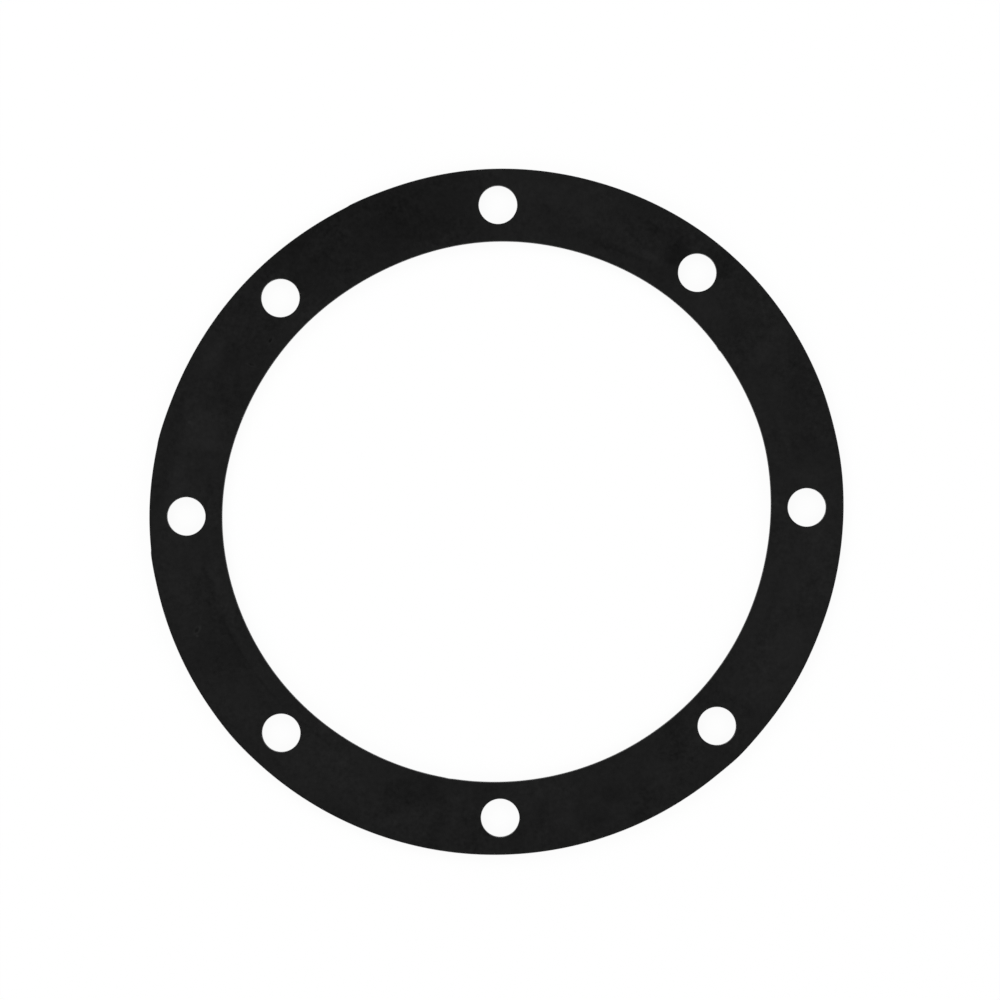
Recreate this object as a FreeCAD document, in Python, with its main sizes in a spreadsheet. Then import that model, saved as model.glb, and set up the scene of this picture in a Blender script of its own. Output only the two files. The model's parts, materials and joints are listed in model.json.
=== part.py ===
"""Hydraulic tank gasket: one flat ring, die-cut from 3 mm rubber sheet.

Frame, in millimetres: the origin is the ring's centre on the face that it lies on, +Z is up through
the sheet, and +X runs through one bolt hole. Angles are counted anticlockwise from +X, seen from
above. Seven of the eight bolt holes stand on an even pitch. The hole next to +X is shifted along the
bolt circle, so that the gasket and its cover go on in one position only.
"""

import FreeCAD, Part
import os
import Sketcher

NODE = "gasket"
LENGTH_TOLERANCE = 1e-6
VOLUME_TOLERANCE = 1e-6

# Each row is an alias of the sheet, its value, and what it means.
SIZES = (
    ("opening_diameter", 150.0, "bore of the ring, the clear way into the tank"),
    ("land_width", 20.0, "sealing band between the bore and the rim"),
    ("sheet_thickness", 3.0, "thickness of the rubber sheet"),
    ("bolt_diameter", 10.0, "cover bolts that pass through the holes"),
    ("bolt_clearance", 0.6, "how much wider than its bolt a hole is"),
    ("bolt_positions", 8, "bolt holes, the shifted one included"),
    ("key_shift_angle", 5.0, "degrees that the keyed hole stands past its even place"),
    ("cut_edge_radius", 0.15, "edge drawn in by the cutting rule on the upper face"),
)

# Expressions over the sheet, used by the sketches and features.
RIM_DIAMETER = "Sizes.opening_diameter + 2 * Sizes.land_width"
BOLT_CIRCLE_RADIUS = "(Sizes.opening_diameter + Sizes.land_width) / 2"
HOLE_DIAMETER = "Sizes.bolt_diameter + Sizes.bolt_clearance"
HOLE_PITCH = "360 / Sizes.bolt_positions"


def fill_sheet(doc):
    """Put the driving sizes in a spreadsheet, one row each, with the alias on the value."""
    sheet = doc.addObject("Spreadsheet::Sheet", "Sizes")
    for row, (alias, value, meaning) in enumerate(SIZES, start=1):
        sheet.set(f"A{row}", alias)
        sheet.set(f"B{row}", str(value))
        sheet.set(f"C{row}", meaning)
        sheet.setAlias(f"B{row}", alias)
    doc.recompute()
    return sheet


def origin_feature(body, role):
    """Find one of the body's own planes or axes by its role."""
    return next(item for item in body.Origin.OriginFeatures if item.Role == role)


def new_sketch(body, name):
    """Start a sketch on the plane that the gasket lies on."""
    sketch = body.newObject("Sketcher::SketchObject", name)
    sketch.AttachmentSupport = [(origin_feature(body, "XY_Plane"), "")]
    sketch.MapMode = "FlatFace"
    return sketch


def constrain(sketch, name, constraint, expression):
    """Add a dimension to a sketch, name it and bind it to the sheet."""
    index = sketch.addConstraint(constraint)
    sketch.renameConstraint(index, name)
    sketch.setExpression(f".Constraints.{name}", expression)


def add_circle(sketch, name, centre, diameter, expression):
    """Draw a circle whose diameter follows the sheet, and return its number in the sketch."""
    normal = FreeCAD.Vector(0, 0, 1)
    circle = sketch.addGeometry(Part.Circle(centre, normal, diameter / 2), False)
    constrain(sketch, name, Sketcher.Constraint("Diameter", circle, diameter), expression)
    return circle


def pad_ring(body, sheet):
    """Pad the ring between its bore and its rim to the sheet's thickness."""
    centre = FreeCAD.Vector(0, 0, 0)
    sketch = new_sketch(body, "RingOutline")
    bore = sheet.opening_diameter
    rim = bore + 2 * sheet.land_width
    outlines = (("bore", bore, "Sizes.opening_diameter"), ("rim", rim, RIM_DIAMETER))
    for name, diameter, expression in outlines:
        circle = add_circle(sketch, name, centre, diameter, expression)
        sketch.addConstraint(Sketcher.Constraint("Coincident", circle, 3, -1, 1))
    pad = body.newObject("PartDesign::Pad", "Ring")
    pad.Profile = sketch
    pad.setExpression("Length", "Sizes.sheet_thickness")
    return pad


def hole_outline(body, sheet, name, start_angle, angle_expression):
    """Sketch one bolt hole at the end of a construction spoke of the bolt circle."""
    radius = (sheet.opening_diameter + sheet.land_width) / 2
    turn = FreeCAD.Rotation(FreeCAD.Vector(0, 0, 1), start_angle)
    centre = turn.multVec(FreeCAD.Vector(radius, 0, 0))
    sketch = new_sketch(body, name)
    spoke = sketch.addGeometry(Part.LineSegment(FreeCAD.Vector(0, 0, 0), centre), True)
    diameter = sheet.bolt_diameter + sheet.bolt_clearance
    hole = add_circle(sketch, "hole", centre, diameter, HOLE_DIAMETER)
    sketch.addConstraint(Sketcher.Constraint("Coincident", spoke, 1, -1, 1))
    sketch.addConstraint(Sketcher.Constraint("Coincident", hole, 3, spoke, 2))
    constrain(sketch, "bolt_circle", Sketcher.Constraint("Distance", spoke, radius), BOLT_CIRCLE_RADIUS)
    if angle_expression is None:
        sketch.addConstraint(Sketcher.Constraint("Horizontal", spoke))
    else:
        angle = FreeCAD.Units.Quantity(start_angle, FreeCAD.Units.Angle)
        constrain(sketch, "spoke_angle", Sketcher.Constraint("Angle", spoke, angle), angle_expression)
    return sketch


def cut_hole(body, name, sketch):
    """Cut a hole outline through the whole sheet, upwards from the plane of the sketch."""
    pocket = body.newObject("PartDesign::Pocket", name)
    pocket.Profile = sketch
    pocket.Type = "ThroughAll"
    pocket.Reversed = True
    return pocket


def cut_even_holes(body, sheet):
    """Cut the hole on +X and repeat it clockwise, which leaves the keyed hole's place free."""
    first = cut_hole(body, "FirstHole", hole_outline(body, sheet, "FirstHoleOutline", 0.0, None))
    body.Document.recompute()
    pattern = body.newObject("PartDesign::PolarPattern", "EvenHoles")
    pattern.Originals = [first]
    pattern.Axis = (origin_feature(body, "Z_Axis"), [""])
    pattern.Mode = "Spacing"
    pattern.Reversed = True
    pattern.setExpression("Offset", HOLE_PITCH)
    pattern.setExpression("Occurrences", "Sizes.bolt_positions - 1")
    body.Tip = pattern
    body.Document.recompute()
    return pattern


def cut_keyed_hole(body, sheet):
    """Cut the hole that stands off the even pitch by the key's shift."""
    angle = 360 / sheet.bolt_positions + sheet.key_shift_angle
    expression = f"({HOLE_PITCH} + Sizes.key_shift_angle) * 1 deg"
    sketch = hole_outline(body, sheet, "KeyedHoleOutline", angle, expression)
    keyed = cut_hole(body, "KeyedHole", sketch)
    body.Document.recompute()
    return keyed


def ease_upper_edges(body, cut, sheet):
    """Round every edge of the upper face, where the cutting rule drew the rubber in."""
    thickness = sheet.sheet_thickness
    upper = [
        f"Edge{number}"
        for number, edge in enumerate(cut.Shape.Edges, start=1)
        if all(abs(vertex.Z - thickness) < LENGTH_TOLERANCE for vertex in edge.Vertexes)
    ]
    fillet = body.newObject("PartDesign::Fillet", "CutEdges")
    fillet.Base = (cut, upper)
    fillet.setExpression("Radius", "Sizes.cut_edge_radius")
    body.Tip = fillet
    body.Document.recompute()
    return fillet


def check_document(doc):
    """Stop if any object failed, or if any solid is missing or invalid."""
    for item in doc.Objects:
        if {"Invalid", "Error"} & set(item.State):
            raise RuntimeError(f"{item.Name} failed: {item.State}")
        if item.isDerivedFrom("PartDesign::Feature") or item.TypeId == "PartDesign::Body":
            if item.Shape.isNull() or not item.Shape.isValid():
                raise RuntimeError(f"{item.Name} has no valid shape")


def check_holes(ring, even_holes, keyed_hole, sheet):
    """Stop unless each group of holes took away exactly its share of the sheet."""
    radius = (sheet.bolt_diameter + sheet.bolt_clearance) / 2
    disc = Part.makeCylinder(radius, sheet.sheet_thickness).Volume
    even_share = ring.Shape.Volume - even_holes.Shape.Volume
    keyed_share = even_holes.Shape.Volume - keyed_hole.Shape.Volume
    shares = ((even_share, even_holes.Occurrences), (keyed_share, 1))
    for share, count in shares:
        if abs(share / disc - count) > VOLUME_TOLERANCE:
            raise RuntimeError(f"{count} holes cut {share} mm3 instead of {count * disc}")


def build():
    """Model the gasket, check it and write its solid."""
    doc = FreeCAD.newDocument("TankGasket")
    sheet = fill_sheet(doc)
    body = doc.addObject("PartDesign::Body", "Gasket")
    body.Label = NODE
    body.Placement = FreeCAD.Placement()
    ring = pad_ring(body, sheet)
    doc.recompute()
    even_holes = cut_even_holes(body, sheet)
    keyed_hole = cut_keyed_hole(body, sheet)
    ease_upper_edges(body, keyed_hole, sheet)
    check_document(doc)
    check_holes(ring, even_holes, keyed_hole, sheet)
    os.makedirs("parts", exist_ok=True)
    body.Shape.exportStep(f"parts/{NODE}.step")
    box = body.Shape.optimalBoundingBox()
    print(f"{NODE}: {body.Shape.Volume:.2f} mm3, {box.XLength:.2f} x {box.YLength:.2f} x {box.ZLength:.2f} mm")


build()
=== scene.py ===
"""Looks of the hydraulic tank gasket: one flat ring, die-cut from black nitrile sheet.

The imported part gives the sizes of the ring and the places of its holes. This script shows how a real
ring lies: a little out of round, because it is soft, with cut walls that the knife left slightly
hollow, and with faces mottled by the thin bloom that comes out of nitrile rubber. Lengths are in
metres, in the part's own frame.
"""

import json
import logging
import math
from collections.abc import Iterator
from dataclasses import dataclass, field
from enum import Enum
from functools import cached_property

import bpy
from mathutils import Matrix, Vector, noise


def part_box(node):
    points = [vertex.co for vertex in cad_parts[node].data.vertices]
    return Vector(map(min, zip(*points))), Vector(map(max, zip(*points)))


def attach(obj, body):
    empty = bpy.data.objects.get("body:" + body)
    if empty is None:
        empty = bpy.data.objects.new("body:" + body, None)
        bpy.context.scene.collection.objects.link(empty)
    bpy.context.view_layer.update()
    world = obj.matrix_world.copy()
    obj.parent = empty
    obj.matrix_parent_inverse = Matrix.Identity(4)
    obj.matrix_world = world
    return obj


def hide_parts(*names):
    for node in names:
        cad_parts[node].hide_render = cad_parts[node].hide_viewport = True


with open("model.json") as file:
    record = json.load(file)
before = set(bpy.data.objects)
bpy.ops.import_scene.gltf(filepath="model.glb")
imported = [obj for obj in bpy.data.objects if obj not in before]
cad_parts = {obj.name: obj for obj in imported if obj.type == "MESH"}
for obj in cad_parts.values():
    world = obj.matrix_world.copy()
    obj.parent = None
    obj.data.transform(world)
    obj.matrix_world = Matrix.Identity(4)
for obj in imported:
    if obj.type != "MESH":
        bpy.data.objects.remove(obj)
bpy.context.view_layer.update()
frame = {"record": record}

LOG = logging.getLogger("tank_gasket")
MM = 0.001
NODE = "gasket"
BODY = "root"
BLOOM_LAYER = "bloom_levels"


def smooth_step(share: float) -> float:
    """Ease a share in and out between 0 and 1, and hold it at them outside."""
    share = min(max(share, 0.0), 1.0)
    return share * share * (3 - 2 * share)


# How the soft ring lies


@dataclass(frozen=True)
class Lobe:
    """One even wave of the ring's outline, counted round the ring."""

    waves: int
    cosine: float
    sine: float


@dataclass(frozen=True)
class RingLie:
    """How a free, soft ring lies out of round: it bends in its own plane and keeps its width."""

    middle_radius: float
    lobes: tuple[Lobe, ...]

    def shift(self, angle: float) -> tuple[float, float, float]:
        """Find how far the middle of the band moves.

        Args:
            angle: Place on the ring, anticlockwise from +X.

        Returns:
            The outward shift, the shift along the ring, and the outward shift's slope over the angle.
        """
        outward = along = slope = 0.0
        for lobe in self.lobes:
            turn = lobe.waves * angle
            wave = lobe.cosine * math.cos(turn) + lobe.sine * math.sin(turn)
            quarter = lobe.sine * math.cos(turn) - lobe.cosine * math.sin(turn)
            outward += wave
            along += quarter / lobe.waves
            slope += quarter * lobe.waves
        return outward, along, slope

    def place(self, x: float, y: float) -> tuple[float, float]:
        """Move a point of the ring as it was cut to where it lies.

        Args:
            x: The point's place along +X on the round ring.
            y: The point's place along +Y on the round ring.

        Returns:
            The point's place on the ring as it lies.
        """
        radius = math.hypot(x, y)
        angle = math.atan2(y, x)
        outward, along, slope = self.shift(angle)
        lean = (along - slope) / self.middle_radius
        along += (radius - self.middle_radius) * lean
        across = radius + outward
        return (
            across * math.cos(angle) - along * math.sin(angle),
            across * math.sin(angle) + along * math.cos(angle),
        )

    def before(self, x: float, y: float) -> tuple[float, float]:
        """Find where a point of the ring as it lies was on the round ring, to a few micrometres."""
        moved_x, moved_y = self.place(x, y)
        return 2 * x - moved_x, 2 * y - moved_y


@dataclass(frozen=True)
class BoltHole:
    """A punched bolt hole, and how far it stands from its nominal place."""

    name: str
    angle: float
    ring_radius: float
    radius: float
    wander_out: float = 0.0
    wander_along: float = 0.0

    @cached_property
    def centre(self) -> tuple[float, float]:
        """The hole's centre on the round ring."""
        out = self.ring_radius + self.wander_out
        x = out * math.cos(self.angle) - self.wander_along * math.sin(self.angle)
        y = out * math.sin(self.angle) + self.wander_along * math.cos(self.angle)
        return x, y


class CutLine(Enum):
    """The two cut lines that bound the band."""

    OPENING = "opening"
    RIM = "rim"


@dataclass(frozen=True)
class Nick:
    """A small bite in a cut line, or a burr where its depth is negative.

    Where two lengths of the cutting rule meet, the line drifts off and jumps back, so the reach before
    the middle (clockwise of it) and the reach after it differ.
    """

    line: CutLine
    angle: float
    depth: float
    before: float
    after: float

    def bite(self, angle: float, radius: float) -> float:
        """Find how deep the nick is at a place on its line.

        Args:
            angle: The place, anticlockwise from +X.
            radius: The line's own radius.

        Returns:
            The depth there.
        """
        apart = math.remainder(angle - self.angle, math.tau) * radius
        apart /= self.before if apart < 0 else self.after
        return self.depth * math.exp(-apart * apart)


# The marks on the upper face


@dataclass(frozen=True)
class BloomPatch:
    """A soft-edged patch of the face where the bloom is thicker (positive) or rubbed thin.

    The angle is in degrees and the lengths in millimetres. Levels count steps of a screen's 255.
    """

    angle: float
    radius: float
    half_length: float
    half_width: float
    levels: float
    softness: float = 0.9
    turn: float = 0.0

    def levels_at(self, x: float, y: float) -> float:
        """Find the patch's share at a point.

        Args:
            x: The point's place along +X, in millimetres.
            y: The point's place along +Y, in millimetres.

        Returns:
            The levels that the patch adds there.
        """
        middle = math.radians(self.angle)
        right = x - self.radius * math.cos(middle)
        up = y - self.radius * math.sin(middle)
        lean = middle + math.radians(self.turn)
        across = (right * math.cos(lean) + up * math.sin(lean)) / self.half_width
        along = (up * math.cos(lean) - right * math.sin(lean)) / self.half_length
        reach = math.hypot(across, along)
        return self.levels * smooth_step((1 + self.softness - reach) / (2 * self.softness))


@dataclass(frozen=True)
class BloomMap:
    """All the patches of bloom on the upper face, with borders that stray. Lengths in millimetres.

    The stray along +Y reads the same noise as the one along +X, but well apart from it.
    """

    patches: tuple[BloomPatch, ...]
    stray: float = 0.5
    stray_size: float = 3.0
    apart: tuple[float, float, float] = (57.0, 31.0, 11.0)

    def levels_at(self, x: float, y: float) -> float:
        """Add up the patches at a point.

        Args:
            x: The point's place along +X, in metres.
            y: The point's place along +Y, in metres.

        Returns:
            The levels above or below plain rubber.
        """
        right, up = x / MM, y / MM
        place = Vector((right, up, 0.0)) / self.stray_size
        right += self.stray * noise.noise(place)
        up += self.stray * noise.noise(place + Vector(self.apart))
        return sum(patch.levels_at(right, up) for patch in self.patches)


KEYED_HOLE_STAINS = (
    BloomPatch(55.0, 86.0, 3.3, 3.8, -5.2, 0.6),
    BloomPatch(60.2, 89.2, 5.0, 1.8, -3.3),
    BloomPatch(66.2, 88.4, 3.6, 2.2, -1.6),
    BloomPatch(47.3, 90.0, 2.6, 2.5, -4.2),
    BloomPatch(56.0, 92.6, 12.0, 2.0, -1.6),
    BloomPatch(59.0, 81.7, 2.1, 1.1, 4.4, 0.6),
    BloomPatch(65.5, 79.3, 8.0, 1.0, -2.2),
    BloomPatch(56.0, 78.6, 4.0, 2.0, -1.4),
    BloomPatch(76.0, 81.0, 7.0, 2.6, -1.0),
    BloomPatch(42.5, 92.1, 5.0, 2.0, -1.5),
    BloomPatch(66.0, 93.0, 7.0, 1.4, -1.4),
)

FIRST_QUARTER_PATCHES = (
    BloomPatch(19.0, 88.6, 10.0, 5.0, -0.7),
    BloomPatch(11.5, 86.0, 3.0, 5.0, -1.1, turn=20.0),
    BloomPatch(25.0, 92.6, 6.0, 1.8, -1.6),
    BloomPatch(83.5, 76.4, 6.0, 1.6, 1.4),
    BloomPatch(37.0, 82.8, 2.6, 2.4, -1.7),
    BloomPatch(32.0, 79.4, 5.0, 1.0, -1.4),
    BloomPatch(31.4, 87.3, 2.2, 6.0, 3.0, turn=22.0),
    BloomPatch(5.5, 85.9, 2.6, 4.5, 2.4),
    BloomPatch(16.0, 81.3, 7.0, 0.9, 1.5),
    BloomPatch(23.5, 83.9, 2.6, 2.4, 1.6),
    BloomPatch(20.0, 76.8, 12.0, 1.4, 1.5),
    BloomPatch(1.0, 77.4, 8.0, 2.4, 1.4),
    BloomPatch(44.0, 79.7, 5.5, 3.0, 2.0),
    BloomPatch(39.5, 87.6, 2.6, 1.3, 1.9),
    BloomPatch(78.0, 89.0, 13.0, 3.4, 1.2),
    BloomPatch(73.5, 86.0, 2.6, 4.0, 1.0, turn=25.0),
    BloomPatch(81.5, 85.0, 5.0, 0.8, -1.4, turn=-12.0),
    BloomPatch(86.0, 88.5, 3.0, 4.0, 1.0),
)

SECOND_QUARTER_PATCHES = (
    BloomPatch(113.0, 87.5, 31.0, 10.5, -2.7, 0.35),
    BloomPatch(108.0, 87.4, 5.6, 6.4, -1.9),
    BloomPatch(130.0, 92.6, 33.0, 2.6, -1.5),
    BloomPatch(118.0, 76.0, 18.0, 1.6, -1.2),
    BloomPatch(127.0, 86.4, 9.0, 1.1, -1.5, turn=2.0),
    BloomPatch(128.8, 81.2, 6.0, 2.6, -2.0),
    BloomPatch(97.5, 80.0, 8.0, 4.2, -2.4),
    BloomPatch(131.5, 90.6, 3.0, 1.4, 1.8),
    BloomPatch(135.0, 77.6, 4.0, 2.2, 1.4),
    BloomPatch(141.0, 86.0, 6.0, 9.0, -1.0),
    BloomPatch(150.5, 90.2, 3.8, 2.0, 2.7),
    BloomPatch(149.0, 85.6, 4.4, 1.6, -2.0),
    BloomPatch(155.4, 80.8, 4.2, 4.2, -1.6, 0.5),
    BloomPatch(146.8, 82.0, 7.0, 4.0, -1.7),
    BloomPatch(152.0, 76.6, 5.0, 1.4, -1.8),
    BloomPatch(163.6, 84.4, 5.2, 5.0, 2.6, 0.3, 8.0),
    BloomPatch(171.0, 86.0, 12.0, 9.0, 1.1, 0.4),
    BloomPatch(165.5, 78.6, 1.8, 2.6, 1.6),
    BloomPatch(174.5, 87.8, 7.0, 1.8, 2.0, turn=-4.0),
    BloomPatch(168.5, 91.4, 17.0, 1.6, -1.9),
    BloomPatch(171.0, 82.6, 1.8, 1.4, -2.2),
    BloomPatch(174.5, 79.2, 6.0, 0.9, -1.4),
)

THIRD_QUARTER_PATCHES = (
    BloomPatch(190.0, 89.0, 14.0, 3.0, 2.2),
    BloomPatch(189.5, 83.4, 6.5, 1.5, 1.4, turn=10.0),
    BloomPatch(196.5, 77.9, 9.0, 1.4, 2.3),
    BloomPatch(212.0, 78.2, 8.0, 1.0, 1.2),
    BloomPatch(193.0, 81.0, 5.5, 1.1, -2.2),
    BloomPatch(207.0, 84.8, 6.0, 3.6, -1.6),
    BloomPatch(206.0, 92.0, 3.4, 3.4, -1.4),
    BloomPatch(208.0, 80.6, 17.0, 0.9, -1.2),
    BloomPatch(216.0, 88.8, 7.0, 3.8, 1.9),
    BloomPatch(236.0, 85.2, 14.0, 9.0, 1.6, 0.5),
    BloomPatch(235.5, 81.2, 5.0, 1.6, 1.2),
    BloomPatch(241.5, 93.0, 5.0, 2.4, -2.4),
    BloomPatch(250.3, 83.2, 3.9, 5.0, -2.0, 0.15),
    BloomPatch(254.8, 79.8, 4.8, 4.4, -2.2, 0.5),
    BloomPatch(253.6, 88.2, 5.0, 3.6, 1.7),
    BloomPatch(236.0, 76.4, 13.0, 1.4, 1.4),
    BloomPatch(258.4, 90.0, 1.5, 3.6, -1.8, turn=-14.0),
    BloomPatch(260.0, 85.6, 1.1, 2.8, -1.6),
    BloomPatch(258.8, 81.6, 1.1, 2.4, -1.3, turn=14.0),
    BloomPatch(262.0, 80.8, 1.8, 1.4, 1.8),
    BloomPatch(261.5, 86.8, 1.2, 3.0, 1.4),
    BloomPatch(266.0, 86.0, 3.6, 2.0, -2.0),
    BloomPatch(267.5, 78.7, 3.0, 3.0, -1.8),
    BloomPatch(266.0, 91.0, 5.0, 3.6, -0.9),
)

FOURTH_QUARTER_PATCHES = (
    BloomPatch(272.8, 90.4, 2.4, 4.6, -2.0),
    BloomPatch(277.0, 78.4, 9.0, 3.2, 1.8),
    BloomPatch(282.0, 84.8, 2.0, 4.0, 2.0),
    BloomPatch(278.0, 84.4, 1.4, 3.0, -1.9),
    BloomPatch(287.0, 89.6, 3.6, 2.2, -1.9, 0.6),
    BloomPatch(291.8, 84.6, 3.0, 2.2, -2.1, 0.5),
    BloomPatch(294.2, 92.8, 2.0, 2.0, -2.6),
    BloomPatch(292.0, 89.4, 2.0, 1.6, 1.4),
    BloomPatch(296.6, 89.0, 0.9, 6.0, -1.5, turn=-10.0),
    BloomPatch(301.3, 86.4, 3.0, 3.6, 2.2),
    BloomPatch(305.5, 89.6, 1.8, 2.0, 1.2),
    BloomPatch(300.0, 90.0, 18.0, 5.5, -0.6),
    BloomPatch(307.4, 79.6, 4.0, 6.0, -1.9, 0.4, -28.0),
    BloomPatch(308.6, 84.0, 2.6, 2.0, 2.0),
    BloomPatch(311.5, 83.4, 1.8, 3.0, 2.0),
    BloomPatch(318.6, 78.6, 3.0, 3.6, -1.2),
    BloomPatch(323.0, 81.8, 5.6, 3.2, 1.6),
    BloomPatch(319.8, 84.2, 1.8, 2.2, 1.5),
    BloomPatch(320.6, 87.0, 1.6, 4.4, -2.0, turn=14.0),
    BloomPatch(329.0, 88.6, 10.0, 6.0, 1.1, 0.5),
    BloomPatch(336.0, 89.4, 3.0, 2.0, 1.3),
    BloomPatch(341.0, 89.8, 2.6, 3.6, -1.9, turn=20.0),
    BloomPatch(342.0, 84.8, 29.0, 10.5, 1.8, 0.35),
    BloomPatch(353.6, 87.9, 4.0, 1.3, 1.9, turn=-5.0),
    BloomPatch(346.0, 85.2, 1.6, 1.7, 1.9),
    BloomPatch(342.0, 79.8, 13.0, 1.2, -1.6),
    BloomPatch(346.0, 88.6, 3.4, 1.2, -1.3, turn=-20.0),
    BloomPatch(349.5, 84.0, 2.0, 1.2, -1.4),
)

BLOOM_PATCHES = (
    KEYED_HOLE_STAINS
    + FIRST_QUARTER_PATCHES
    + SECOND_QUARTER_PATCHES
    + THIRD_QUARTER_PATCHES
    + FOURTH_QUARTER_PATCHES
)


@dataclass(frozen=True)
class Rub:
    """A thin line rubbed along the ring. Angles in degrees, lengths in millimetres."""

    angle: float
    radius: float
    half_length: float
    half_width: float
    climb: float
    levels: float

    def inputs(self) -> dict[str, float]:
        """Give the line's inputs of its shader group, in radians and metres."""
        return {
            "Angle": math.radians(self.angle),
            "Radius": self.radius * MM,
            "Half length": self.half_length * MM,
            "Half width": self.half_width * MM,
            "Climb": self.climb * MM,
        }


RUBS = (
    Rub(211.0, 80.4, 16.5, 0.35, -0.9, -2.0),
    Rub(232.0, 78.9, 7.0, 0.30, -0.2, -1.3),
    Rub(64.0, 79.4, 7.5, 0.30, -0.8, -1.4),
    Rub(61.5, 81.0, 4.5, 0.25, -0.3, 1.2),
    Rub(208.5, 92.4, 5.5, 0.30, 0.1, -1.2),
)


# Where a pit's floor ends and where its wall does, in sizes of the dimple.
PIT_FLOOR = 0.3
PIT_BORDER = 1.1


@dataclass(frozen=True)
class Dimple:
    """A small pit, with a painted highlight on its lip and painted shade on its floor; where it has no
    depth, a lighter spot.

    Angles are in degrees and lengths in millimetres. The turn is the long axis's own, anticlockwise
    from +X. The lip's painted highlight, and the floor's painted shade in a pit and lighter tone on a spot,
    are given in levels.
    """

    angle: float
    radius: float
    size: float
    stretch: float
    turn: float
    # Painted highlight on the lip, brighter on one side, in levels.
    lip: float
    # Painted shade on a pit's floor; a lighter tone on a spot without depth. In levels.
    floor: float = -4.0
    depth: float = 0.08

    @cached_property
    def centre(self) -> tuple[float, float]:
        """The dimple's centre on the ring as it lies, in metres."""
        angle = math.radians(self.angle)
        return self.radius * MM * math.cos(angle), self.radius * MM * math.sin(angle)

    def depth_at(self, x: float, y: float) -> float:
        """Find how deep the pit is at a point of the ring as it lies.

        Args:
            x: The point's place along +X, in metres.
            y: The point's place along +Y, in metres.

        Returns:
            The depth, in metres.
        """
        right = x - self.centre[0]
        up = y - self.centre[1]
        turn = math.radians(self.turn)
        along = (right * math.cos(turn) + up * math.sin(turn)) / self.stretch
        across = up * math.cos(turn) - right * math.sin(turn)
        reach = math.hypot(along, across) / (self.size * MM)
        return self.depth * MM * smooth_step((PIT_BORDER - reach) / (PIT_BORDER - PIT_FLOOR))

    def inputs(self) -> dict[str, float]:
        """Give the dimple's inputs of its shader group, in radians and metres."""
        return {
            "Right": self.centre[0],
            "Up": self.centre[1],
            "Size": self.size * MM,
            "Stretch": self.stretch,
            "Turn": math.radians(self.turn),
        }


# Each pit has painted shade on its floor and a painted highlight on its lip. The last two have no depth and
# are lighter spots.
DIMPLES = (
    Dimple(200.9, 89.0, 0.48, 1.7, 55.0, 6.5),
    Dimple(142.4, 78.5, 0.42, 1.8, 55.0, 4.5),
    Dimple(148.5, 79.1, 0.34, 2.8, -20.0, 4.0),
    Dimple(163.2, 88.4, 0.60, 1.0, 0.0, 0.5, floor=9.0, depth=0.0),
    Dimple(201.9, 89.5, 0.50, 1.0, 0.0, 0.0, floor=8.0, depth=0.0),
)


# The mesh


@dataclass(frozen=True)
class EdgeProfile:
    """The section of a cut wall, from the upper face down to the lower one."""

    thickness: float
    ease: float
    hollow: float
    ease_steps: int = 3
    wall_steps: int = 6

    def rows(self) -> Iterator[tuple[float, float]]:
        """Give the rows below the upper face's own edge and above the lower one's.

        Yields:
            How far the row lies inside the cut line, and its height.
        """
        for step in range(1, self.ease_steps + 1):
            turn = math.radians(90 * step / self.ease_steps)
            inset = self.ease * (1 - math.sin(turn))
            yield inset, self.thickness - self.ease * (1 - math.cos(turn))
        wall = self.thickness - self.ease
        for step in range(1, self.wall_steps):
            share = step / self.wall_steps
            yield self.hollow * 4 * share * (1 - share), wall * (1 - share)


@dataclass(frozen=True)
class BandPoint:
    """A point of the band's even grid, a share of the way from the opening to the rim."""

    ring: "GasketRing"
    angle: float
    share: float

    def at(self, inset: float) -> tuple[float, float]:
        """Find the point with the cut lines drawn in by an inset."""
        inner = self.ring.line_radius(CutLine.OPENING, self.angle) + inset
        outer = self.ring.line_radius(CutLine.RIM, self.angle) - inset
        radius = inner + (outer - inner) * self.share
        return radius * math.cos(self.angle), radius * math.sin(self.angle)


@dataclass(frozen=True)
class CollarPoint:
    """A point of the collar round a hole, a share of the way from the hole to the collar's border."""

    hole: BoltHole
    border: BandPoint
    share: float

    def at(self, inset: float) -> tuple[float, float]:
        """Find the point with the cut lines drawn in by an inset."""
        centre_x, centre_y = self.hole.centre
        square_x, square_y = self.border.at(0.0)
        facing = math.atan2(square_y - centre_y, square_x - centre_x)
        radius = self.hole.radius + inset
        wall_x = centre_x + radius * math.cos(facing)
        wall_y = centre_y + radius * math.sin(facing)
        border_x, border_y = self.border.at(inset)
        return (
            wall_x + (border_x - wall_x) * self.share,
            wall_y + (border_y - wall_y) * self.share,
        )


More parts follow.
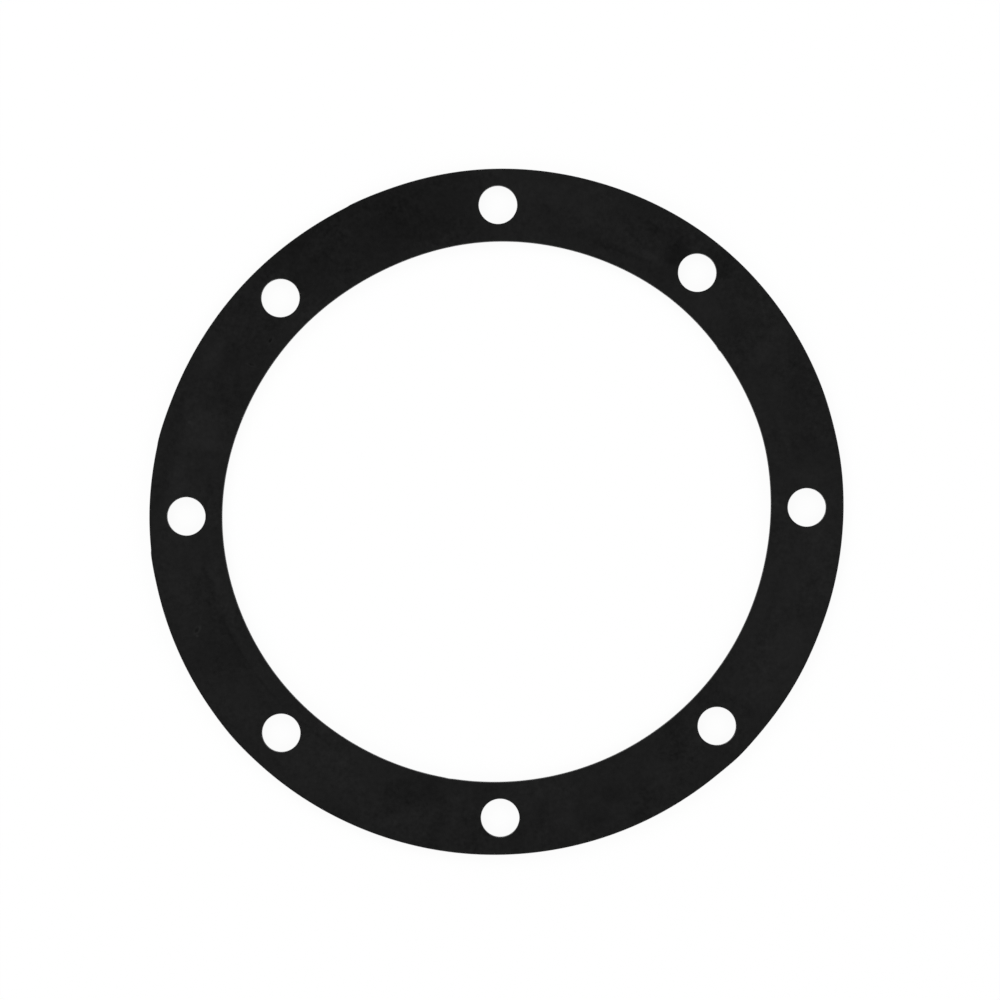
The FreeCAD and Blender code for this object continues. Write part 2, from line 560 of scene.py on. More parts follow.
@dataclass
class GasketRing:
    """The die-cut ring: two flat faces, hollow cut walls and a square collar of faces round each hole."""

    opening_radius: float
    rim_radius: float
    thickness: float
    holes: tuple[BoltHole, ...]
    lie: RingLie
    nicks: tuple[Nick, ...]
    bloom: BloomMap
    pits: tuple[Dimple, ...]
    edge_ease: float = 0.15 * MM
    wall_hollow: float = 0.07 * MM
    swell: float = 0.012 * MM
    swell_size: float = 9 * MM
    collar_half_angle: float = math.radians(8.0)
    collar_steps: int = 40
    collar_rings: int = 10
    collar_spread: float = 1.25
    band_rows: int = 32
    gather_reach: float = 3 * MM
    face_share: float = 0.9
    step_angle: float = math.radians(0.45)
    sharp_angle: float = math.radians(50.0)
    _points: list[BandPoint | CollarPoint] = field(default_factory=list, init=False, repr=False)
    _quads: list[tuple[int, int, int, int]] = field(default_factory=list, init=False, repr=False)
    _loops: list[list[int]] = field(default_factory=list, init=False, repr=False)
    _places: list[tuple[float, float, float]] = field(default_factory=list, init=False, repr=False)
    _levels: list[float] = field(default_factory=list, init=False, repr=False)

    def line_radius(self, line: CutLine, angle: float) -> float:
        """Find the radius of a cut line, nicks included.

        Args:
            line: The opening or the rim.
            angle: Place on the ring.

        Returns:
            The radius of the line there.
        """
        inner = line is CutLine.OPENING
        radius = self.opening_radius if inner else self.rim_radius
        for nick in self.nicks:
            if nick.line is line:
                bite = nick.bite(angle, radius)
                radius += bite if inner else -bite
        return radius

    def build(self) -> bpy.types.Object:
        """Make the ring's mesh.

        Returns:
            The ring as an object, with the faces on material index 0 and the cut walls on index 1.
        """
        self._lay_out()
        mesh = self._solid_mesh()
        ring = bpy.data.objects.new("gasket_ring", mesh)
        bpy.context.scene.collection.objects.link(ring)
        self._flatten_shading(ring)
        return ring

    @staticmethod
    def _flatten_shading(ring: bpy.types.Object) -> None:
        """Let the large faces set the shading, so that the narrow rounds don't darken them."""
        weighted = ring.modifiers.new("flat_faces", "WEIGHTED_NORMAL")
        weighted.keep_sharp = True
        depsgraph = bpy.context.evaluated_depsgraph_get()
        shaded = bpy.data.meshes.new_from_object(ring.evaluated_get(depsgraph))
        ring.modifiers.clear()
        ring.data = shaded

    def _add(self, point: BandPoint | CollarPoint) -> int:
        """Keep a point of the layout and give its number."""
        self._points.append(point)
        return len(self._points) - 1

    def _column(self, angle: float) -> list[int]:
        """Keep one column of the band's grid, from the opening to the rim."""
        rows = self.band_rows
        return [self._add(BandPoint(self, angle, row / rows)) for row in range(rows + 1)]

    def _fill(self, left: list[int], right: list[int]) -> None:
        """Join two columns by quads that face up."""
        for row in range(len(left) - 1):
            self._quads.append((left[row], left[row + 1], right[row + 1], right[row]))

    def _lay_out(self) -> None:
        """Lay out one flat face: even columns between the holes, and a collar round each hole."""
        opening: list[int] = []
        rim: list[int] = []
        holes = sorted(self.holes, key=lambda hole: hole.angle)
        entries = [self._column(hole.angle - self.collar_half_angle) for hole in holes]
        for number, hole in enumerate(holes):
            entry = entries[number]
            leave = self._column(hole.angle + self.collar_half_angle)
            inner, outer = self._collar(hole, entry, leave)
            opening += inner
            rim += outer
            following = holes[(number + 1) % len(holes)]
            gap = (following.angle - hole.angle) % math.tau - 2 * self.collar_half_angle
            steps = max(2, round(gap / self.step_angle))
            start = hole.angle + self.collar_half_angle
            columns = [leave]
            columns += [self._column(start + gap * step / steps) for step in range(1, steps)]
            columns.append(entries[(number + 1) % len(holes)])
            for left, right in zip(columns, columns[1:]):
                self._fill(left, right)
            opening += [column[0] for column in columns[:-1]]
            rim += [column[-1] for column in columns[:-1]]
        self._loops.append(opening)
        self._loops.append(rim[::-1])

    def _collar(
        self, hole: BoltHole, entry: list[int], leave: list[int]
    ) -> tuple[list[int], list[int]]:
        """Lay out the collar round one hole.

        Args:
            hole: The hole.
            entry: The column where the collar starts, from the opening to the rim.
            leave: The column where it ends.

        Returns:
            The collar's points on the opening and on the rim, both anticlockwise, without the last.
        """
        start = hole.angle - self.collar_half_angle
        turn = 2 * self.collar_half_angle / self.collar_steps
        angles = [start + turn * step for step in range(1, self.collar_steps)]
        outer = [entry[-1]] + [self._add(BandPoint(self, angle, 1.0)) for angle in angles]
        inner = [entry[0]] + [self._add(BandPoint(self, angle, 0.0)) for angle in angles]
        border = outer + leave[:0:-1] + [leave[0]] + inner[:0:-1] + entry[:-1]
        rings = [border]
        for step in range(self.collar_rings - 1, -1, -1):
            share = (step / self.collar_rings) ** self.collar_spread
            points = [CollarPoint(hole, self._points[number], share) for number in border]
            rings.append([self._add(point) for point in points])
        for wide, narrow in zip(rings, rings[1:]):
            for spoke in range(len(border)):
                beside = (spoke + 1) % len(border)
                self._quads.append((wide[spoke], wide[beside], narrow[beside], narrow[spoke]))
        self._loops.append(rings[-1])
        return inner, outer

    def _gather(self, x: float, y: float) -> tuple[float, float]:
        """Draw the grid together round each pit, so that the mesh can follow it."""
        for pit in self.pits:
            centre_x, centre_y = self.lie.before(*pit.centre)
            right, up = x - centre_x, y - centre_y
            share = math.hypot(right, up) / self.gather_reach
            if share < 1:
                return centre_x + right * share, centre_y + up * share
        return x, y

    def _stand(self, point: BandPoint | CollarPoint, inset: float, height: float) -> int:
        """Stand a point of the layout at a height of the ring as it lies.

        Args:
            point: The point of the layout.
            inset: How far the cut lines are drawn in there.
            height: Height over the face that the ring lies on.

        Returns:
            The number of the mesh's new point.
        """
        flat_x, flat_y = self._gather(*point.at(inset))
        rise = height / self.thickness
        height += rise * self.swell * noise.noise(Vector((flat_x, flat_y, 0.0)) / self.swell_size)
        x, y = self.lie.place(flat_x, flat_y)
        levels = 0.0
        if rise > self.face_share:
            levels = rise * self.bloom.levels_at(flat_x, flat_y)
            height -= sum(pit.depth_at(x, y) for pit in self.pits)
        self._places.append((x, y, height))
        self._levels.append(levels)
        return len(self._places) - 1

    def _solid_mesh(self) -> bpy.types.Mesh:
        """Stand the layout up to a closed solid.

        Returns:
            The mesh with its material indices, smooth faces and bloom layer.
        """
        profile = EdgeProfile(self.thickness, self.edge_ease, self.wall_hollow)
        top = [self._stand(point, self.edge_ease, self.thickness) for point in self._points]
        base = [self._stand(point, 0.0, 0.0) for point in self._points]
        faces = [tuple(top[corner] for corner in quad) for quad in self._quads]
        faces += [tuple(base[corner] for corner in reversed(quad)) for quad in self._quads]
        face_count = len(faces)
        for loop in self._loops:
            rows = [[top[number] for number in loop]]
            for inset, height in profile.rows():
                rows.append([self._stand(self._points[number], inset, height) for number in loop])
            rows.append([base[number] for number in loop])
            for upper, lower in zip(rows, rows[1:]):
                for corner in range(len(loop)):
                    beside = (corner + 1) % len(loop)
                    quad = (upper[corner], upper[beside], lower[beside], lower[corner])
                    faces.append(quad)
        mesh = bpy.data.meshes.new("gasket_ring")
        mesh.from_pydata(self._places, [], faces)
        mesh.validate()
        mesh.polygons.foreach_set("use_smooth", [True] * len(faces))
        walls = [0] * face_count + [1] * (len(faces) - face_count)
        mesh.polygons.foreach_set("material_index", walls)
        layer = mesh.attributes.new(BLOOM_LAYER, "FLOAT", "POINT")
        layer.data.foreach_set("value", self._levels)
        mesh.set_sharp_from_angle(angle=self.sharp_angle)
        mesh.update()
        return mesh


# Shader node groups and finishes


class Wiring:
    """Adds nodes to a tree and joins them."""

    def __init__(self, tree: bpy.types.NodeTree) -> None:
        """Keep the tree that the nodes go into."""
        self.tree = tree

    def add(self, kind: str, inputs: dict[str | int, object], **settings: object) -> bpy.types.Node:
        """Add a node.

        Args:
            kind: The node's type.
            inputs: Values or source sockets for the node's inputs, by name or number.
            settings: Values of the node's own settings.

        Returns:
            The node.
        """
        node = self.tree.nodes.new(kind)
        for name, value in settings.items():
            setattr(node, name, value)
        for name, value in inputs.items():
            if isinstance(value, bpy.types.NodeSocket):
                self.tree.links.new(value, node.inputs[name])
            else:
                node.inputs[name].default_value = value
        return node

    def group(self, tree: bpy.types.NodeTree, inputs: dict[str | int, object]) -> bpy.types.Node:
        """Place a shared group, with values or sources for its inputs."""
        return self.add("ShaderNodeGroup", inputs, node_tree=tree)

    def math(self, operation: str, *terms: object) -> bpy.types.NodeSocket:
        """Add a sum over numbers or sockets and give its result."""
        node = self.add("ShaderNodeMath", dict(enumerate(terms)), operation=operation)
        return node.outputs[0]

    def total(self, *terms: bpy.types.NodeSocket) -> bpy.types.NodeSocket:
        """Add up several sockets."""
        result = terms[0]
        for term in terms[1:]:
            result = self.math("ADD", result, term)
        return result

    def ramp(self, value: object, low: float, high: float) -> bpy.types.NodeSocket:
        """Give a smooth step from 0 at low to 1 at high."""
        inputs = {"Value": value, "From Min": low, "From Max": high}
        node = self.add("ShaderNodeMapRange", inputs, interpolation_type="SMOOTHSTEP")
        return node.outputs[0]

    def length(self, x: bpy.types.NodeSocket, y: bpy.types.NodeSocket) -> bpy.types.NodeSocket:
        """Give the length of an arrow from its two parts."""
        squares = [self.math("POWER", part, 2.0) for part in (x, y)]
        return self.math("SQRT", self.total(*squares))

    def turn_back(self, place: bpy.types.NodeSocket, angle: bpy.types.NodeSocket) -> bpy.types.Node:
        """Turn a place back about Z by an angle, and split it into its parts."""
        inputs = {"Vector": place, "Angle": self.math("MULTIPLY", angle, -1.0)}
        turned = self.add("ShaderNodeVectorRotate", inputs, rotation_type="Z_AXIS")
        return self.add("ShaderNodeSeparateXYZ", {0: turned.outputs[0]})

    def close(self, results: dict[str, bpy.types.NodeSocket]) -> bpy.types.NodeTree:
        """Wire a group's results to its output, and give its tree."""
        self.add("NodeGroupOutput", results)
        return self.tree

    def show(self, shader: bpy.types.NodeSocket, output: str = "ShaderNodeOutputMaterial") -> None:
        """Wire a shader to the output of the tree."""
        self.add(output, {"Surface": shader})


def start_material(name: str) -> tuple[bpy.types.Material, Wiring]:
    """Make a material without nodes, and the wiring of its tree."""
    material = bpy.data.materials.new(name)
    material.use_nodes = True
    material.node_tree.nodes.clear()
    return material, Wiring(material.node_tree)


class GroupShelf:
    """The shader groups that the finishes share. Each is built once."""

    def __init__(self) -> None:
        """Build every group."""
        self.clouds = self._clouds()
        self.grain = self._grain()
        self.rub = self._rub()
        self.dimple = self._dimple()

    @staticmethod
    def _open(
        name: str, values: dict[str, float], outputs: tuple[str, ...]
    ) -> tuple[Wiring, bpy.types.NodeOutputs]:
        """Start a group that is given a place, called Vector, and some values.

        Args:
            name: The group's name.
            values: Each value's name and first setting.
            outputs: The names of the group's results.

        Returns:
            The wiring of the group and the sockets that it is given.
        """
        tree = bpy.data.node_groups.new(name, "ShaderNodeTree")
        tree.interface.new_socket("Vector", in_out="INPUT", socket_type="NodeSocketVector")
        for label, value in values.items():
            made = tree.interface.new_socket(label, in_out="INPUT", socket_type="NodeSocketFloat")
            made.default_value = value
        for label in outputs:
            tree.interface.new_socket(label, in_out="OUTPUT", socket_type="NodeSocketFloat")
        return Wiring(tree), tree.nodes.new("NodeGroupInput").outputs

    def _clouds(self) -> bpy.types.NodeTree:
        """Build the drifting clouds of bloom, in levels above and below the mean."""
        values = {"Size": 0.004, "Levels": 1.0, "Calm size": 0.012, "Calm share": 0.3}
        wiring, given = self._open("Bloom clouds", values, ("Levels",))
        scale = wiring.math("DIVIDE", 1.0, given["Size"])
        source = {"Vector": given["Vector"], "Scale": scale, "Detail": 3.0, "Roughness": 0.55}
        cloud = wiring.add("ShaderNodeTexNoise", source)
        # Noise keeps close to its middle, 0.5, so it is spread to about one level either way.
        centred = wiring.math("SUBTRACT", cloud.outputs[0], 0.5)
        spread = wiring.math("MULTIPLY", centred, 8.0)
        wide = wiring.math("DIVIDE", 1.0, given["Calm size"])
        shift = {"Vector": given["Vector"], "Location": (0.05, 0.02, 0.0)}
        moved = wiring.add("ShaderNodeMapping", shift)
        drift = {"Vector": moved.outputs[0], "Scale": wide, "Detail": 1.0}
        # Some stretches are calmer than others, by the calm share.
        calm = wiring.add("ShaderNodeTexNoise", drift)
        lively = wiring.ramp(calm.outputs[0], 0.35, 0.65)
        lively = wiring.math("MULTIPLY_ADD", lively, 2.0, -1.0)
        lively = wiring.math("MULTIPLY_ADD", lively, given["Calm share"], 1.0)
        spread = wiring.math("MULTIPLY", spread, lively)
        levels = wiring.math("MULTIPLY", spread, given["Levels"])
        return wiring.close({"Levels": levels})

    def _grain(self) -> bpy.types.NodeTree:
        """Build the fine grain that the press cloth left on the sheet, as a height in metres."""
        values = {"Size": 0.0004, "Depth": 4e-6}
        wiring, given = self._open("Sheet grain", values, ("Height",))
        scale = wiring.math("DIVIDE", 1.0, given["Size"])
        source = {"Vector": given["Vector"], "Scale": scale, "Detail": 2.0, "Roughness": 0.6}
        grain = wiring.add("ShaderNodeTexNoise", source)
        height = wiring.math("MULTIPLY", grain.outputs[0], given["Depth"])
        return wiring.close({"Height": height})

    def _rub(self) -> bpy.types.NodeTree:
        """Build a thin line rubbed along the ring, as a mask. The angles are in radians."""
        values = {"Angle": 0.0, "Radius": 0.08, "Half length": 0.01, "Half width": 0.0003, "Climb": 0.0}
        wiring, given = self._open("Rubbed line", values, ("Mask",))
        parts = wiring.turn_back(given["Vector"], given["Angle"])
        angle = wiring.math("ARCTAN2", parts.outputs["Y"], parts.outputs["X"])
        along = wiring.math("MULTIPLY", angle, given["Radius"])
        share = wiring.math("DIVIDE", along, given["Half length"])
        radius = wiring.length(parts.outputs["X"], parts.outputs["Y"])
        line = wiring.math("MULTIPLY_ADD", share, given["Climb"], given["Radius"])
        off = wiring.math("ABSOLUTE", wiring.math("SUBTRACT", radius, line))
        off = wiring.math("DIVIDE", off, given["Half width"])
        across = wiring.math("SUBTRACT", 1.0, wiring.ramp(off, 0.0, 2.0))
        ends = wiring.math("SUBTRACT", 1.0, wiring.ramp(wiring.math("ABSOLUTE", share), 0.6, 1.0))
        return wiring.close({"Mask": wiring.math("MULTIPLY", across, ends)})

    def _dimple(self) -> bpy.types.NodeTree:
        """Build a small pit, and the crescent of painted highlight on its lip, as two masks."""
        values = {"Right": 0.08, "Up": 0.0, "Size": 0.0005, "Stretch": 1.0, "Turn": 0.0}
        wiring, given = self._open("Dimple", values, ("Pit", "Lip highlight"))
        centre = wiring.add("ShaderNodeCombineXYZ", {"X": given["Right"], "Y": given["Up"]})
        ends = {0: given["Vector"], 1: centre.outputs[0]}
        offset = wiring.add("ShaderNodeVectorMath", ends, operation="SUBTRACT")
        parts = wiring.turn_back(offset.outputs[0], given["Turn"])
        along = wiring.math("DIVIDE", parts.outputs["X"], given["Size"])
        along = wiring.math("DIVIDE", along, given["Stretch"])
        across = wiring.math("DIVIDE", parts.outputs["Y"], given["Size"])
        # The reach is 1 near the pit's border. The lip runs on to about twice as far.
        reach = wiring.length(along, across)
        pit = wiring.math("SUBTRACT", 1.0, wiring.ramp(reach, PIT_FLOOR, PIT_BORDER))
        lip = wiring.math("SUBTRACT", 1.0, wiring.ramp(reach, 1.2, 2.4))
        lip = wiring.math("MULTIPLY", lip, wiring.ramp(reach, 0.8, 1.3))
        # The lip's painted highlight is bright on one side of the long axis and fainter on the other.
        side = wiring.math("MULTIPLY_ADD", wiring.ramp(across, 0.6, -0.6), 0.6, 0.4)
        return wiring.close({"Pit": pit, "Lip highlight": wiring.math("MULTIPLY", lip, side)})


@dataclass(frozen=True)
class CloudLayer:
    """One size of bloom cloud, in metres, and its strength in levels."""

    size: float
    levels: float


@dataclass(frozen=True)
class NitrileFinish:
    """Black nitrile rubber, from bare and dark to covered with grey bloom."""

    name: str
    bare: tuple[float, float, float]
    bloomed: tuple[float, float, float]
    span_levels: float
    clouds: tuple[CloudLayer, ...]
    rough_bare: float
    rough_bloomed: float
    specular: float
    grain_size: float
    grain_depth: float

    def bloom(self, wiring: Wiring, shelf: GroupShelf, place: bpy.types.NodeSocket) -> bpy.types.NodeSocket:
        """Add up the clouds of bloom.

        Args:
            wiring: The material's wiring.
            shelf: The shared groups.
            place: The place on the surface.

        Returns:
            The levels above and below the mean.
        """
        terms = []
        for layer in self.clouds:
            inputs = {"Vector": place, "Size": layer.size, "Levels": layer.levels}
            cloud = wiring.group(shelf.clouds, inputs)
            terms.append(cloud.outputs["Levels"])
        return wiring.total(*terms)

    def surface(
        self,
        material: bpy.types.Material,
        wiring: Wiring,
        levels: bpy.types.NodeSocket,
        height: bpy.types.NodeSocket,
    ) -> None:
        """Wire the levels of tone and the height to the material's shader.

        Args:
            material: The material.
            wiring: Its wiring.
            levels: Levels of tone above and below the mean: bloom, and on the faces also the painted shade
                and painted highlight of the dimples.
            height: Height of the surface's relief, in metres.
        """
        share = wiring.math("DIVIDE", levels, self.span_levels)
        share = wiring.math("ADD", share, 0.5)
        colour = wiring.add(
            "ShaderNodeMix",
            {0: share, 6: (*self.bare, 1.0), 7: (*self.bloomed, 1.0)},
            data_type="RGBA",
        )
        rough = wiring.add(
            "ShaderNodeMapRange",
            {"Value": share, "To Min": self.rough_bare, "To Max": self.rough_bloomed},
        )
        bump = wiring.add("ShaderNodeBump", {"Height": height, "Distance": 1.0, "Strength": 1.0})
        shader = wiring.add(
            "ShaderNodeBsdfPrincipled",
            {
                "Base Color": colour.outputs[2],
                "Roughness": rough.outputs[0],
                "Normal": bump.outputs[0],
                "Specular IOR Level": self.specular,
            },
        )
        wiring.show(shader.outputs[0])


@dataclass(frozen=True)
class FaceFinish(NitrileFinish):
    """The flat faces, with the patches and rubbed lines of handling, and dimples with painted shade in
    their pits and a painted highlight on their lips.
    """

    rubs: tuple[Rub, ...] = ()
    dimples: tuple[Dimple, ...] = ()

    def build(self, shelf: GroupShelf) -> bpy.types.Material:
        """Make the material of the faces.

        Args:
            shelf: The shared groups.

        Returns:
            The material.
        """
        material, wiring = start_material(self.name)
        place = wiring.add("ShaderNodeTexCoord", {}).outputs["Object"]
        layer = wiring.add("ShaderNodeAttribute", {}, attribute_name=BLOOM_LAYER)
        levels = wiring.total(layer.outputs["Fac"], self.bloom(wiring, shelf, place))
        for rub in self.rubs:
            mask = wiring.group(shelf.rub, {"Vector": place, **rub.inputs()}).outputs["Mask"]
            levels = wiring.math("MULTIPLY_ADD", mask, rub.levels, levels)
        grain = {"Vector": place, "Size": self.grain_size, "Depth": self.grain_depth}
        height = wiring.group(shelf.grain, grain).outputs["Height"]
        for dimple in self.dimples:
            made = wiring.group(shelf.dimple, {"Vector": place, **dimple.inputs()})
            # Painted shade on each pit's floor, and a lighter tone on each spot without depth.
            levels = wiring.math("MULTIPLY_ADD", made.outputs["Pit"], dimple.floor, levels)
            # A painted highlight on each dimple's lip, brighter on one side.
            levels = wiring.math("MULTIPLY_ADD", made.outputs["Lip highlight"], dimple.lip, levels)
        self.surface(material, wiring, levels, height)
        return material


@dataclass(frozen=True)
class WallFinish(NitrileFinish):
    """The cut walls, with upright lines that the knife drew through the rubber."""

    line_size: float = 0.45 * MM
    line_depth: float = 0.04 * MM
    line_stretch: float = 0.06

    def build(self, shelf: GroupShelf) -> bpy.types.Material:
        """Make the material of the cut walls.

        Args:
            shelf: The shared groups.

        Returns:
            The material.
        """
        material, wiring = start_material(self.name)
        place = wiring.add("ShaderNodeTexCoord", {}).outputs["Object"]
        levels = self.bloom(wiring, shelf, place)
        stretch = {"Vector": place, "Scale": (1.0, 1.0, self.line_stretch)}
        drawn = wiring.add("ShaderNodeMapping", stretch).outputs[0]
        lines = {"Vector": drawn, "Size": self.line_size, "Depth": self.line_depth}
        line_height = wiring.group(shelf.grain, lines).outputs["Height"]
        grain = {"Vector": place, "Size": self.grain_size, "Depth": self.grain_depth}
        grain_height = wiring.group(shelf.grain, grain).outputs["Height"]
        self.surface(material, wiring, levels, wiring.total(line_height, grain_height))
        return material


# The studio


@dataclass(frozen=True)
class Softbox:
    """A large square lamp that faces the ring. Angles in degrees, the power in watts."""

    name: str
    azimuth: float
    elevation: float
    power: float
    distance: float = 1.9
    side: float = 1.1

    def build(self) -> bpy.types.Object:
        """Hang the lamp.

        Returns:
            The lamp, turned towards the ring's centre.
        """
        lamp = bpy.data.lights.new(self.name, "AREA")
        lamp.shape = "SQUARE"
        lamp.size = self.side
        lamp.energy = self.power
        azimuth = math.radians(self.azimuth)
        elevation = math.radians(self.elevation)
        flat = math.cos(elevation)
        towards = Vector((flat * math.cos(azimuth), flat * math.sin(azimuth), math.sin(elevation)))
        softbox = bpy.data.objects.new(self.name, lamp)
        softbox.location = towards * self.distance
        softbox.rotation_mode = "QUATERNION"
        softbox.rotation_quaternion = (-towards).to_track_quat("-Z", "Y")
        bpy.context.scene.collection.objects.link(softbox)
        return softbox


@dataclass(frozen=True)
class Studio:
    """A white sweep of paper under soft, even light."""

    softboxes: tuple[Softbox, ...]
    floor_radius: float = 6.0
    floor_corners: int = 96
    floor_drop: float = 0.02 * MM
    paper: float = 0.96
    paper_glow: float = 0.93
    sky_fill: float = 0.5

    def build(self) -> None:
        """Make the floor, the sky and the lamps, and set how colours are shown."""
        scene = bpy.context.scene
        scene.view_settings.view_transform = "Standard"
        for softbox in self.softboxes:
            softbox.build()
        self._sky(scene)
        self._floor(scene)

    @staticmethod
    def _seen_by_eye(wiring: Wiring) -> bpy.types.NodeSocket:
        """Give 1 for rays that come from the eye, a reflection or through glass, and else 0."""
        rays = wiring.add("ShaderNodeLightPath", {})
        names = ("Is Camera Ray", "Is Glossy Ray", "Is Transmission Ray")
        summed = wiring.total(*(rays.outputs[name] for name in names))
        return wiring.math("MINIMUM", summed, 1.0)

    def _sky(self, scene: bpy.types.Scene) -> None:
        """Light the scene evenly from all round, and show white behind everything."""
        world = bpy.data.worlds.new("white_sky")
        world.use_nodes = True
        world.node_tree.nodes.clear()
        wiring = Wiring(world.node_tree)
        seen = self._seen_by_eye(wiring)
        strength = wiring.add(
            "ShaderNodeMapRange", {"Value": seen, "To Min": self.sky_fill, "To Max": 1.0}
        )
        glow = wiring.add(
            "ShaderNodeBackground", {"Color": (1.0, 1.0, 1.0, 1.0), "Strength": strength.outputs[0]}
        )
        wiring.show(glow.outputs[0], "ShaderNodeOutputWorld")
        scene.world = world

    def _floor(self, scene: bpy.types.Scene) -> bpy.types.Object:
        """Lay the round sheet of paper that the gasket lies on."""
        corners = self.floor_corners
        turns = [math.tau * corner / corners for corner in range(corners)]
        places = [
            (self.floor_radius * math.cos(turn), self.floor_radius * math.sin(turn), -self.floor_drop)
            for turn in turns
        ]
        mesh = bpy.data.meshes.new("paper_floor")
        mesh.from_pydata(places, [], [tuple(range(corners))])
        floor = bpy.data.objects.new("paper_floor", mesh)
        scene.collection.objects.link(floor)
        material, wiring = start_material("white_paper")
        colour = (self.paper, self.paper, self.paper, 1.0)
        paper = wiring.add("ShaderNodeBsdfDiffuse", {"Color": colour})
        glow = wiring.add("ShaderNodeEmission", {"Strength": 1.0})
        share = wiring.math("MULTIPLY", self._seen_by_eye(wiring), self.paper_glow)
        mixed = wiring.add(
            "ShaderNodeMixShader", {0: share, 1: paper.outputs[0], 2: glow.outputs[0]}
        )
        wiring.show(mixed.outputs[0])
        mesh.materials.append(material)
        return floor


@dataclass(frozen=True)
class PhotoCamera:
    """The photograph's view, straight down. Pixels count right and down from its upper left corner."""

    rim_radius: float
    face_height: float
    rim_radius_px: float = 344.8
    ring_centre_px: tuple[float, float] = (497.5, 512.2)
    image_side_px: float = 1000.0
    ring_turn: float = math.radians(0.516)
    lens_mm: float = 200.0
    sensor_mm: float = 36.0

    def build(self) -> bpy.types.Object:
        """Make the camera and set it as the scene's own.

        Returns:
            The camera.
        """
        pixel = self.rim_radius / self.rim_radius_px
        data = bpy.data.cameras.new("photo_camera")
        data.lens = self.lens_mm
        data.sensor_width = self.sensor_mm
        right = (self.image_side_px / 2 - self.ring_centre_px[0]) * pixel
        up = (self.ring_centre_px[1] - self.image_side_px / 2) * pixel
        turn = -self.ring_turn
        height = self.image_side_px * pixel * self.lens_mm / self.sensor_mm
        camera = bpy.data.objects.new("photo_camera", data)
        camera.location = (
            right * math.cos(turn) - up * math.sin(turn),
            right * math.sin(turn) + up * math.cos(turn),
            self.face_height + height,
        )
        camera.rotation_euler = (0.0, 0.0, turn)
        bpy.context.scene.collection.objects.link(camera)
        bpy.context.scene.camera = camera
        return camera


# What is built


# Each row is the number of waves round the ring and the wave's size, in millimetres.
LOBES_MM = (
    Lobe(2, 0.56, 0.73),
    Lobe(3, -0.23, -0.05),
    Lobe(4, 0.06, 0.03),
    Lobe(5, -0.03, 0.04),
    Lobe(8, 0.04, 0.02),
    Lobe(9, -0.02, 0.03),
)

# How far each punched hole stands from its nominal place: outward and anticlockwise, in millimetres.
HOLE_WANDER_MM = {
    "bolt_hole_000": (-0.09, 0.18),
    "bolt_hole_050_keyed": (0.20, -0.22),
    "bolt_hole_090": (0.06, -0.46),
    "bolt_hole_135": (0.04, -0.51),
    "bolt_hole_180": (-0.15, -0.01),
    "bolt_hole_225": (-0.39, 0.45),
    "bolt_hole_270": (-0.14, 0.26),
    "bolt_hole_315": (0.00, 0.08),
}

# Each row is the line, the angle in degrees, and the depth and the two reaches in millimetres.
NICKS = (
    (CutLine.OPENING, 15.5, 0.17, 12.0, 10.0),
    (CutLine.OPENING, 35.0, -0.07, 8.0, 8.0),
    (CutLine.OPENING, 35.8, -0.14, 0.4, 0.9),
    (CutLine.OPENING, 259.5, 0.09, 0.9, 0.8),
    (CutLine.RIM, 14.0, 0.10, 8.0, 8.0),
    (CutLine.RIM, 115.1, -0.12, 8.0, 0.6),
    (CutLine.RIM, 167.6, -0.10, 7.0, 0.8),
    (CutLine.RIM, 167.0, -0.09, 7.0, 7.0),
    (CutLine.RIM, 186.2, -0.16, 0.8, 6.0),
    (CutLine.RIM, 220.0, -0.10, 6.0, 6.0),
    (CutLine.RIM, 314.0, -0.19, 4.5, 6.0),
    (CutLine.RIM, 338.0, 0.10, 9.0, 9.0),
)

SOFTBOXES = (
    Softbox("key_softbox", azimuth=125.0, elevation=42.0, power=14.0),
    Softbox("fill_softbox", azimuth=5.0, elevation=38.0, power=10.0),
    Softbox("back_softbox", azimuth=245.0, elevation=38.0, power=10.0),
)


def read_holes(record: dict) -> tuple[BoltHole, ...]:
    """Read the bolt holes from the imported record's mounts.

    Args:
        record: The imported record.

    Returns:
        The holes, each with its own wander.
    """
    holes = []
    for mount in record["mounts"]:
        name = mount["name"]
        if name in HOLE_WANDER_MM:
            x, y, _ = mount["pos_m"]
            out, along = HOLE_WANDER_MM[name]
            holes.append(
                BoltHole(
                    name=name,
                    angle=math.atan2(y, x) % math.tau,
                    ring_radius=math.hypot(x, y),
                    radius=mount["dims"]["r_mm"] * MM,
                    wander_out=out * MM,
                    wander_along=along * MM,
                )
            )
    return tuple(holes)


def read_opening(record: dict) -> float:
    """Read the opening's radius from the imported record."""
    found = next(mount for mount in record["mounts"] if mount["name"] == "tank_opening")
    return found["dims"]["r_mm"] * MM


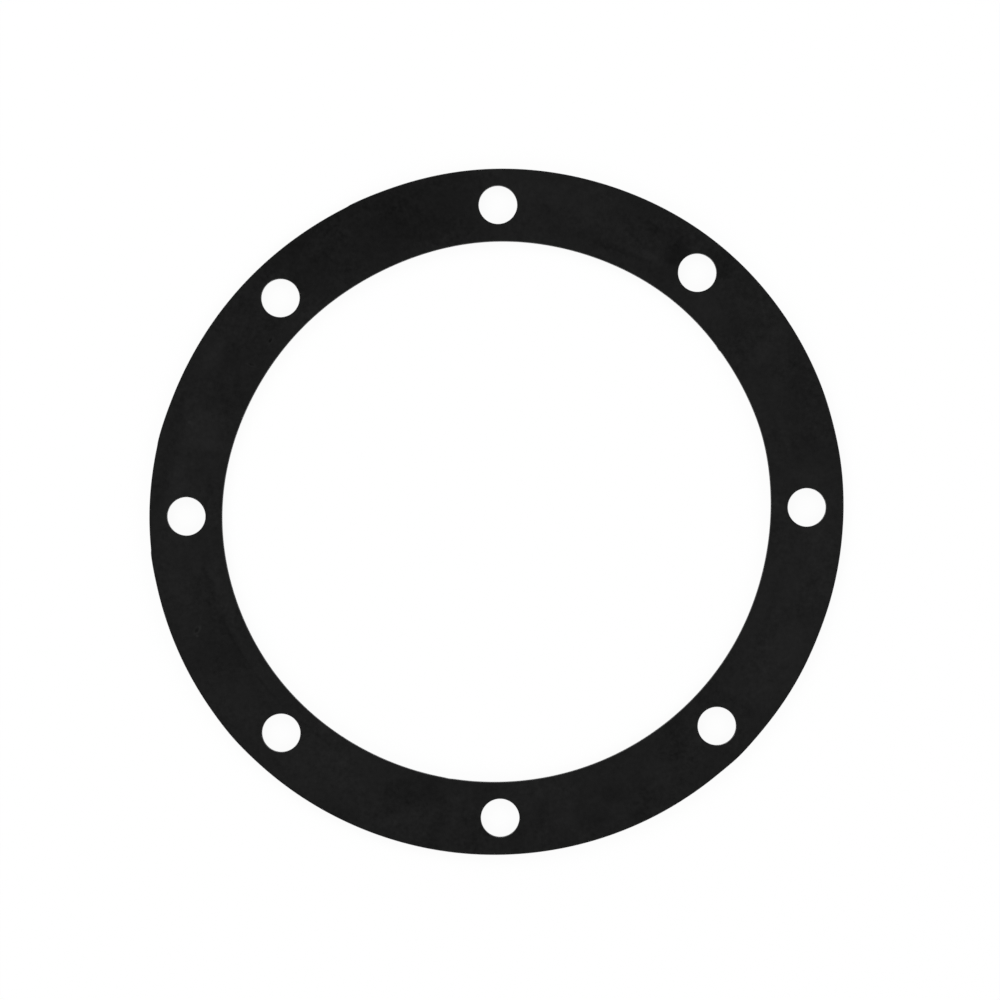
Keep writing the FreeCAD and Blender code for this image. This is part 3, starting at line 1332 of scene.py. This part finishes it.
def build_ring(record: dict) -> GasketRing:
    """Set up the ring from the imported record.

    Args:
        record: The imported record.

    Returns:
        The ring, ready to build.
    """
    holes = read_holes(record)
    opening = read_opening(record)
    middle = holes[0].ring_radius
    low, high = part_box(NODE)
    lobes = tuple(Lobe(lobe.waves, lobe.cosine * MM, lobe.sine * MM) for lobe in LOBES_MM)
    nicks = tuple(
        Nick(line, math.radians(angle), depth * MM, before * MM, after * MM)
        for line, angle, depth, before, after in NICKS
    )
    return GasketRing(
        opening_radius=opening,
        rim_radius=2 * middle - opening,
        thickness=high.z - low.z,
        holes=holes,
        lie=RingLie(middle, lobes),
        nicks=nicks,
        bloom=BloomMap(BLOOM_PATCHES),
        pits=tuple(dimple for dimple in DIMPLES if dimple.depth),
    )


def dress(ring: bpy.types.Object, shelf: GroupShelf) -> None:
    """Give the ring its two finishes.

    Args:
        ring: The ring's object.
        shelf: The shared groups.
    """
    face = FaceFinish(
        name="nitrile_face",
        bare=(0.0009, 0.0009, 0.0009),
        bloomed=(0.0141, 0.0141, 0.0141),
        span_levels=16.0,
        clouds=(CloudLayer(0.008, 0.4), CloudLayer(0.003, 0.85), CloudLayer(0.0011, 1.25)),
        rough_bare=0.50,
        rough_bloomed=0.74,
        specular=0.045,
        grain_size=0.0004,
        grain_depth=2e-5,
        rubs=RUBS,
        dimples=DIMPLES,
    )
    wall = WallFinish(
        name="nitrile_cut_wall",
        bare=(0.0030, 0.0030, 0.0030),
        bloomed=(0.0120, 0.0120, 0.0120),
        span_levels=16.0,
        clouds=(CloudLayer(0.003, 1.2),),
        rough_bare=0.42,
        rough_bloomed=0.56,
        specular=0.2,
        grain_size=0.0003,
        grain_depth=3e-6,
    )
    ring.data.materials.append(face.build(shelf))
    ring.data.materials.append(wall.build(shelf))


def main() -> None:
    """Build the ring, its finishes, the studio and the camera."""
    logging.basicConfig(level=logging.INFO, format="%(name)s: %(message)s")
    shape = build_ring(frame["record"])
    ring = shape.build()
    dress(ring, GroupShelf())
    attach(ring, BODY)
    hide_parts(NODE)
    LOG.info("%s: %d faces", ring.name, len(ring.data.polygons))
    Studio(SOFTBOXES).build()
    LOG.info("studio: %d softboxes", len(SOFTBOXES))
    camera = PhotoCamera(shape.rim_radius, shape.thickness).build()
    LOG.info("%s: %.3f m above the floor", camera.name, camera.location.z)


if __name__ == "__main__":
    main()
